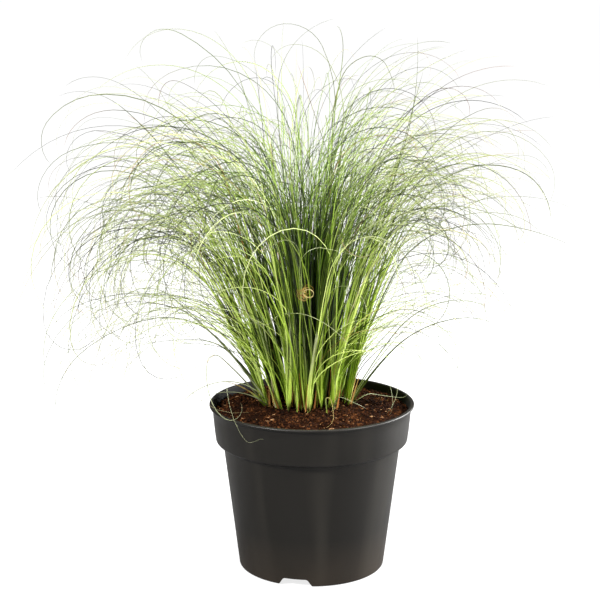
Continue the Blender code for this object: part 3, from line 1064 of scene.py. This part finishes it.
def pickForm(dice, ring, shootHeading, kind):
    heading = shootHeading + math.radians(dice.gauss(0.0, ring["fan"]))
    left = 0.5 - 0.5 * math.cos(heading)
    front = max(0.0, -math.sin(heading)) ** 2
    shorter = 1.0 - 0.16 * front
    form = {
        "heading": heading,
        "sheath": dice.uniform(0.020, 0.110),
        "length": shorter * between(dice.uniform(*ring["length"][0]),
                                    dice.uniform(*ring["length"][1]), left),
        "turn": between(dice.uniform(*ring["turn"][0]), dice.uniform(*ring["turn"][1]), left),
        "straight": between(dice.uniform(*ring["straight"][0]),
                            dice.uniform(*ring["straight"][1]), left),
        "opening": dice.uniform(*ring["opening"]) * between(0.8, 1.25, left),
        "bend": dice.uniform(1.0, 1.5),
        "curl": dice.uniform(30.0, 150.0) if dice.random() < 0.35 else 0.0,
        "drift": dice.gauss(0.0, 0.45),
        "sway": dice.uniform(2.0, 11.0),
        "swing": dice.gauss(0.0, 13.0),
        "waves": dice.uniform(4.0, 11.0),
        "phase": dice.uniform(0.0, 6.28),
        "lowest": between(0.150, 0.250, front),
    }
    if kind == "straight":
        form.update(length=form["length"] * dice.uniform(0.60, 0.88),
                    turn=dice.uniform(10.0, 60.0), curl=dice.uniform(0.0, 80.0))
    elif kind == "hoop":
        form.update(turn=dice.uniform(230.0, 340.0), straight=dice.uniform(0.42, 0.60),
                    bend=dice.uniform(0.95, 1.15), curl=0.0)
    elif kind == "low":
        form.update(sheath=dice.uniform(0.004, 0.045), straight=dice.uniform(0.10, 0.35),
                    length=between(dice.uniform(0.15, 0.29), dice.uniform(0.22, 0.44), left),
                    opening=dice.uniform(12.0, 36.0), turn=dice.uniform(60.0, 210.0),
                    lowest=between(0.134, 0.215, front))
    elif kind == "curl":
        # leaves round the outside that turn sideways and coil over their neighbours
        aside = math.radians(dice.choice((-1, 1)) * dice.uniform(50.0, 115.0))
        form.update(heading=heading + aside,
                    length=dice.uniform(0.17, 0.33), straight=dice.uniform(0.40, 0.68),
                    turn=dice.uniform(150.0, 400.0), bend=1.0, curl=0.0,
                    opening=dice.uniform(3.0, 12.0), lowest=0.185)
    return form


def growLeaf(bundle, dice, foot, axis, shootHeading, ring, kind):
    shape = leafShape
    for attempt in range(shape["tries"]):
        form = pickForm(dice, ring, shootHeading, kind)
        start = foot + Vector((dice.uniform(-1, 1), dice.uniform(-1, 1), 0.0)) * 0.0011
        points = leafRoute(start, axis, form)
        if routeIsClear(points, form["lowest"]):
            break
    else:
        return
    wide = dice.uniform(*shape["wide"]) * shape["kindWidths"].get(kind, 1.0)
    tone = dice.uniform(*shape["curlTone"]) if kind == "curl" else smooth(dice.random())
    dryTip = dice.uniform(*shape["dryTip"]) if dice.random() < shape["dryTipChance"] else 0.0
    allDry = shape["allDry"] if dice.random() < shape["allDryChance"] else 0.0
    bundle.add("leaf", points,
               lambda shares: wide * leafWidths(shares, form["length"], form["sheath"]),
               tone, lambda shares: np.maximum(allDry, dryTip * ease((shares - 0.8) / 0.2)),
               (dice.uniform(0, 6.28), dice.gauss(0.0, 2.2)), 0.10 if kind == "curl" else 0.0)


def growStem(bundle, dice, foot, axis):
    # the rolled leaf sheaths that make each shoot's round stem, red-brown at the very foot
    shape = stemShape
    length = dice.uniform(*shape["length"])
    wide = dice.uniform(*shape["wide"])
    sag = Vector((dice.gauss(0, 1), dice.gauss(0, 1), 0.0)) * shape["sag"]
    run = np.linspace(0.0, 1.0, 12)[:, None]
    points = np.array(foot) + np.array(axis) * length * run + np.array(sag) * np.sin(run * 3.1)
    taper = shape["endWidth"] - shape["footWidth"]
    red = dice.uniform(*shape["red"]) if dice.random() < shape["redChance"] else 0.0
    bundle.add("stem", points,
               lambda shares: wide * (shape["footWidth"] + taper * ease(shares * 1.05)),
               dice.uniform(*shape["tone"]),
               lambda shares: red * (1.0 - ease((shares - 0.05) / 0.16)))


def strayRoute(foot, tipY, lean, legs):
    # walks leg after leg to the left and right, and evenly from the foot's Y to the tip's
    step = strayShape["step"]
    turns = [np.full(round(length / step), turn * step / length) for length, turn in legs]
    softened = np.convolve(np.concatenate(turns), np.ones(5) / 5, "same")
    angle = np.radians(lean + np.cumsum(softened))
    x = foot[0] + step * np.concatenate(((0.0,), np.cumsum(np.sin(angle))))
    z = soilHeight(*foot) - stemShape["depth"] + step * np.concatenate(
        ((0.0,), np.cumsum(np.cos(angle))))
    return np.stack((x, np.linspace(foot[1], tipY, len(x)), z), 1)


def addStray(bundle, dice, stray):
    tone, grey, dry, wide, foot, tipY, lean, legs = stray
    points = strayRoute(foot, tipY, lean, legs)
    length = float(np.linalg.norm(np.diff(points, axis=0), axis=1).sum())
    bundle.add("leaf", points,
               lambda shares: (strayShape["wide"] * wide
                               * leafWidths(shares, length, strayShape["sheath"])),
               tone, lambda shares: dry * ease((shares - 0.30) / 0.25),
               (dice.uniform(0, 6.28), dice.gauss(0.0, 1.5)), grey)


def addTangleCoil(bundle, dice):
    # one coil of the small dry tangle caught between the front leaves
    shape = tangleShape
    share = np.linspace(0.0, 1.0, 30)
    turn = dice.uniform(0.0, 6.28) + dice.uniform(*shape["turn"]) * share
    size = dice.uniform(*shape["size"]) * (1.0 - 0.6 * share)
    coil = np.stack((size * np.cos(turn), size * np.sin(turn), 0.004 * share), 1)
    lean = Euler((dice.uniform(0.9, 2.2), 0.0, dice.uniform(-0.7, 0.7))).to_matrix().transposed()
    shift = np.array([dice.gauss(0.0, shape["scatter"]) for axis in range(3)])
    bundle.add("leaf", np.array(shape["place"]) + shift + coil @ np.array(lean),
               lambda shares: np.full(len(shares), shape["width"]), dice.uniform(0.2, 1.0),
               lambda shares: np.full(len(shares), shape["dry"]))


def makeStrays(material, dice):
    bundle = StrandBundle()
    for stray in strayLeaves.values():
        addStray(bundle, dice, stray)
    for number in range(tangleShape["coils"]):
        addTangleCoil(bundle, dice)
    linkPiece("leaves_strays", bundle.makeMesh("leaves_strays"), material)


def growDeadSheath(bundle, dice, foot, axis):
    # a dry brown strip of old sheath that clings to the foot of a shoot
    angle = dice.uniform(0, 6.28)
    away = Vector((math.cos(angle), math.sin(angle), 0.0))
    length = dice.uniform(*stemShape["sheathLength"])
    lift = (axis + away * dice.uniform(0.04, 0.22)).normalized()
    run = np.linspace(0.0, 1.0, 8)[:, None]
    points = np.array(foot + away * 0.0021) + np.array(lift) * length * run
    wide = dice.uniform(*stemShape["sheathWidth"])
    bundle.add("leaf", points, lambda shares: wide * (1.0 - 0.75 * ease(shares)),
               dice.uniform(0.15, 1.0), lambda shares: 1.0 + 0.0 * shares,
               (angle + math.pi / 2, dice.gauss(0.0, 0.6)))


def growTuft(node, ringName, material, dice):
    ring = tuftRings[ringName]
    kinds = leafShape["kinds"]
    bundle = StrandBundle()
    fromCentre = readTuft(node).xy - clumpCentre.xy
    ringRadius = fromCentre.length
    spreadAngle = 0.0090 / ringRadius
    for shootNumber in range(ring["shoots"]):
        around = (shootNumber + 0.5) / ring["shoots"] * 2.0 - 1.0
        angle = math.atan2(fromCentre.y, fromCentre.x) + around * spreadAngle * 0.95
        radius = ringRadius + dice.uniform(-1, 1) * ring["depth"]
        x = clumpCentre.x + radius * math.cos(angle)
        y = clumpCentre.y + radius * math.sin(angle)
        foot = Vector((x, y, soilHeight(x, y) - stemShape["depth"]))
        shootHeading = angle + math.radians(dice.gauss(0.0, 14.0))
        left = 0.5 - 0.5 * math.cos(shootHeading)
        mean, spread = (between(ring["lean"][0][number], ring["lean"][1][number], left)
                        for number in range(2))
        lean = min(max(dice.gauss(mean, spread), 1.0), mean + 1.8 * spread)
        axis = tiltedWay(shootHeading, lean)
        growStem(bundle, dice, foot, axis)
        if ringName == "outer" and dice.random() < stemShape["sheathChance"]:
            growDeadSheath(bundle, dice, foot, axis)
        for number in range(dice.randint(*ring["leaves"])):
            kind = dice.choices(list(kinds), list(kinds.values()))[0]
            growLeaf(bundle, dice, foot, axis, shootHeading, ring, kind)
        for number in range(round(between(*ring["low"], left))):
            growLeaf(bundle, dice, foot, axis, shootHeading, ring, "low")
        for number in range(ring["curls"]):
            growLeaf(bundle, dice, foot, axis, shootHeading, ring, "curl")
    linkPiece("leaves_" + node, bundle.makeMesh("leaves_" + node), material,
              (node,))
    return len(bundle.strands["leaf"])


dice = random.Random(20)
leafMaterials = {name: makeLeafMaterial(name + "Leaf", colours)
                 for name, colours in leafColoursAndPaintedShade.items()}
leafCount = 0
for node in sorted(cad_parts):
    if "_tuft_" in node:
        ringName = node.split("_")[0]
        leafCount += growTuft(node, ringName, leafMaterials[ringName], dice)
makeStrays(leafMaterials["outer"], dice)
print("leaves grown:", leafCount + len(strayLeaves))
